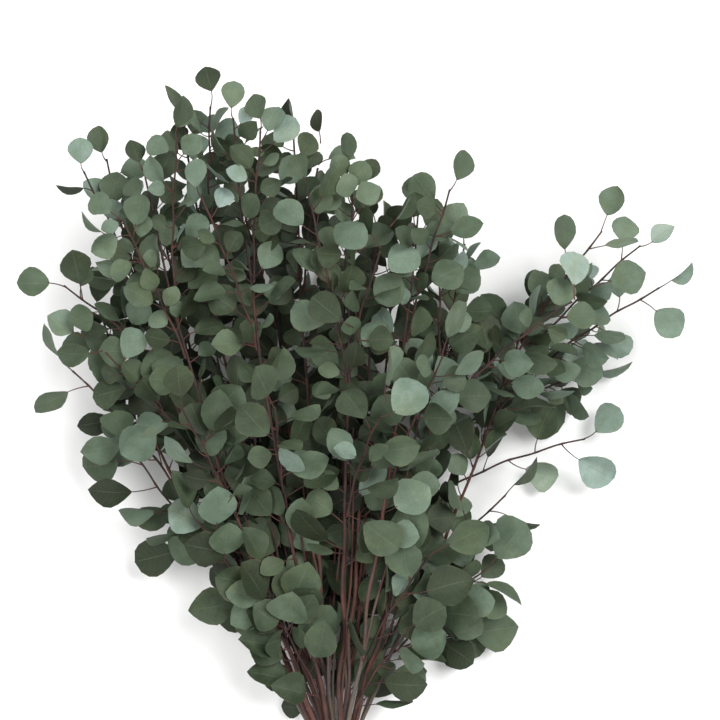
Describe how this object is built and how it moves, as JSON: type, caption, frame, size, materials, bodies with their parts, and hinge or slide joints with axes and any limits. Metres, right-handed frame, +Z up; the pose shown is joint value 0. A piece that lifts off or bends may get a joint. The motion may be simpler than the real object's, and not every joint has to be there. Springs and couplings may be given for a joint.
{
  "type": "dried eucalyptus bunch",
  "caption": "Bunch of preserved round-leaved eucalyptus lying on its side, a fan of leafy woody branches held by a rubber band near their cut ends.",
  "frame": {"origin": "centre of the bounding box at the surface that the bunch lies on", "axes": "+Y along the bunch from the cut ends to the tips, +X across it, +Z up from the surface"},
  "size_m": [0.6798, 0.796, 0.2416],
  "materials": {
    "eucalyptus": "matte",
    "band": "satin"
  },
  "bodies": {
    "root": {"branch_01": "eucalyptus", "branch_02": "eucalyptus", "branch_03": "eucalyptus", "branch_04": "eucalyptus", "branch_05": "eucalyptus", "branch_06": "eucalyptus", "branch_07": "eucalyptus", "branch_08": "eucalyptus", "branch_09": "eucalyptus", "branch_10": "eucalyptus", "branch_11": "eucalyptus", "branch_12": "eucalyptus", "branch_13": "eucalyptus", "branch_14": "eucalyptus", "branch_15": "eucalyptus", "branch_16": "eucalyptus", "branch_17": "eucalyptus", "branch_18": "eucalyptus", "side_shoot_01": "eucalyptus", "side_shoot_02": "eucalyptus", "side_shoot_03": "eucalyptus", "side_shoot_04": "eucalyptus", "side_shoot_05": "eucalyptus", "side_shoot_06": "eucalyptus", "side_shoot_07": "eucalyptus", "side_shoot_08": "eucalyptus", "side_shoot_09": "eucalyptus", "side_shoot_10": "eucalyptus", "side_shoot_11": "eucalyptus", "side_shoot_12": "eucalyptus", "side_shoot_13": "eucalyptus", "side_shoot_14": "eucalyptus", "side_shoot_15": "eucalyptus", "side_shoot_16": "eucalyptus", "side_shoot_17": "eucalyptus", "side_shoot_18": "eucalyptus", "side_shoot_19": "eucalyptus", "side_shoot_20": "eucalyptus", "side_shoot_21": "eucalyptus", "side_shoot_22": "eucalyptus", "side_shoot_23": "eucalyptus", "side_shoot_24": "eucalyptus", "side_shoot_25": "eucalyptus", "side_shoot_26": "eucalyptus", "side_shoot_27": "eucalyptus", "side_shoot_28": "eucalyptus", "side_shoot_29": "eucalyptus", "side_shoot_30": "eucalyptus", "side_shoot_31": "eucalyptus", "side_shoot_32": "eucalyptus", "side_shoot_33": "eucalyptus", "side_shoot_34": "eucalyptus", "rubber_band": "band"}
  },
  "joints": []
}
